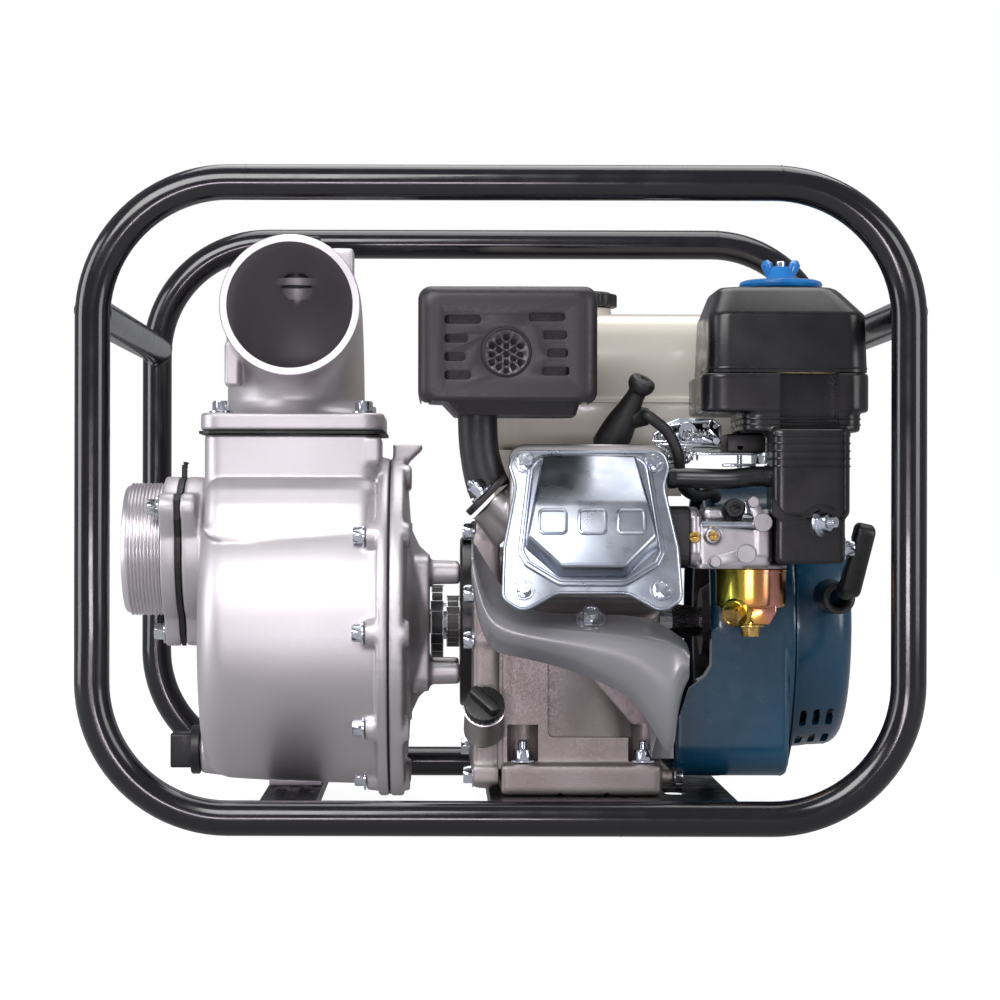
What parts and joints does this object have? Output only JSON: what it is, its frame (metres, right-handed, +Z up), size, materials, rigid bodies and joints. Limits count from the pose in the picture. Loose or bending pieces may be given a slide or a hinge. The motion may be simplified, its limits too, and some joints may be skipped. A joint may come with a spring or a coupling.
{
  "type": "engine water pump",
  "caption": "Centrifugal water pump with front suction and curved discharge spout, coupled to a small leaning-cylinder petrol engine in a tubular roll cage.",
  "frame": {"origin": "centre of the bounding box on the ground under the two hoops", "axes": "+X from the pump to the rope starter along the crankshaft, -Y to the carburettor and valve cover side, +Z up"},
  "size_m": [0.502, 0.3892, 0.3955],
  "materials": {
    "gloss_black_tube": "gloss",
    "black_sheet": "satin",
    "cast_aluminium": "satin",
    "engine_casting": "matte",
    "head_casting": "satin",
    "black_rubber": "matte",
    "black_plastic": "satin",
    "cast_iron": "matte",
    "bright_steel": "brushed",
    "zinc_sheet": "gloss",
    "grey_paint": "satin",
    "muffler_black": "matte",
    "cream_paint": "gloss",
    "cleaner_black": "satin",
    "filter_foam": "matte",
    "blue_nut": "gloss",
    "carb_casting": "satin",
    "yellow_zinc": "gloss",
    "fan_blue": "gloss",
    "ceramic": "gloss"
  },
  "bodies": {
    "chassis": {"hoop_front": "gloss_black_tube", "hoop_rear": "gloss_black_tube", "cross_tube_left": "gloss_black_tube", "cross_tube_right": "gloss_black_tube", "pump_channel": "black_sheet", "engine_plate": "black_sheet", "pump_casing": "cast_aluminium", "back_cover": "cast_aluminium", "suction_coupling": "cast_aluminium", "valve_gasket": "black_rubber", "outlet_gasket": "black_rubber", "discharge_elbow": "cast_aluminium", "volute": "cast_iron", "mechanical_seal": "black_rubber", "crankcase": "engine_casting", "side_cover": "engine_casting", "cylinder_head": "head_casting", "spark_plug": "ceramic", "spark_plug_cap": "black_rubber", "ignition_lead": "black_rubber", "valve_cover": "zinc_sheet", "lower_shroud": "grey_paint", "muffler_shield": "muffler_black", "muffler_body": "muffler_black", "exhaust_pipe": "muffler_black", "fuel_tank": "cream_paint", "tank_bracket": "cream_paint", "air_cleaner_base": "cleaner_black", "filter_element": "filter_foam", "insulator": "black_plastic", "carburettor_body": "carb_casting", "float_bowl": "yellow_zinc", "bowl_drain": "yellow_zinc", "breather_hose": "black_rubber", "control_plate": "zinc_sheet", "governor_spring": "bright_steel", "fan_cover": "fan_blue", "ignition_coil": "black_plastic", "recoil_housing": "fan_blue"},
    "crank": {"crankshaft": "bright_steel", "impeller": "cast_iron", "flywheel": "cast_iron"},
    "suction_flap": {"check_valve_flap": "black_rubber"},
    "dipstick": {"oil_dipstick": "black_plastic"},
    "filler_cap": {"fuel_cap": "black_plastic"},
    "priming_cap": {"priming_plug": "black_plastic"},
    "drain_cap": {"drain_plug": "black_plastic"},
    "cleaner_lid": {"air_cleaner_cover": "cleaner_black"},
    "cleaner_nut": {"wing_nut": "blue_nut"},
    "throttle": {"throttle_lever": "zinc_sheet"},
    "choke": {"choke_lever": "black_plastic"},
    "fuel_valve": {"fuel_valve_lever": "black_plastic"},
    "grip": {"starter_grip": "black_plastic"},
    "pulley": {"starter_pulley": "black_plastic"}
  },
  "joints": [
    {"name": "crank_spin", "type": "hinge", "parent": "chassis", "child": "crank", "pos_m": [0, 0.022, 0.1185], "axis": [-1, 0, 0], "continuous": true},
    {"name": "flap_swing", "type": "hinge", "parent": "chassis", "child": "suction_flap", "pos_m": [-0.1998, 0.022, 0.203], "axis": [0, -1, 0], "range_deg": [0, 32], "stiffness_Nm_per_rad": 0.05},
    {"name": "dipstick_turn", "type": "hinge", "parent": "chassis", "child": "dipstick", "pos_m": [-0.008, -0.112, 0.0735], "axis": [0, -0.8192, 0.5736], "range_deg": [0, 720]},
    {"name": "fuel_cap_turn", "type": "hinge", "parent": "chassis", "child": "filler_cap", "pos_m": [0.06, 0.06, 0.33], "axis": [0, 0, 1], "range_deg": [0, 90]},
    {"name": "priming_plug_turn", "type": "hinge", "parent": "chassis", "child": "priming_cap", "pos_m": [-0.131, 0.022, 0.362], "axis": [0, 0, 1], "range_deg": [0, 1080]},
    {"name": "drain_plug_turn", "type": "hinge", "parent": "chassis", "child": "drain_cap", "pos_m": [-0.194, 0.022, 0.033], "axis": [-1, 0, 0], "range_deg": [0, 1080]},
    {"name": "cleaner_lift", "type": "slide", "parent": "chassis", "child": "cleaner_lid", "axis": [0, 0, 1], "range_m": [0, 0.08]},
    {"name": "wing_nut_turn", "type": "hinge", "parent": "cleaner_lid", "child": "cleaner_nut", "pos_m": [0.177, -0.085, 0.335], "axis": [0, 0, 1], "range_deg": [0, 1440]},
    {"name": "throttle_turn", "type": "hinge", "parent": "chassis", "child": "throttle", "pos_m": [0.118, -0.0928, 0.2415], "axis": [0, -1, 0], "range_deg": [-15, 15]},
    {"name": "choke_turn", "type": "hinge", "parent": "chassis", "child": "choke", "pos_m": [0.16, -0.1345, 0.185], "axis": [0, -1, 0], "range_deg": [0, 45]},
    {"name": "fuel_valve_turn", "type": "hinge", "parent": "chassis", "child": "fuel_valve", "pos_m": [0.15, -0.1345, 0.166], "axis": [0, -1, 0], "range_deg": [0, 60]},
    {"name": "starter_pull", "type": "slide", "parent": "chassis", "child": "grip", "axis": [-0.0803, -0.8935, 0.4417], "range_m": [0, 0.45], "stiffness_N_per_m": 20, "springref_m": -0.2},
    {"name": "pulley_turn", "type": "hinge", "parent": "chassis", "child": "pulley", "pos_m": [0.2, 0.022, 0.1185], "axis": [-1, 0, 0], "range_deg": [0, 580]}
  ],
  "couplings": [
    {"joint": "pulley_turn", "follows": "starter_pull", "rad_per_m": 22.222}
  ]
}
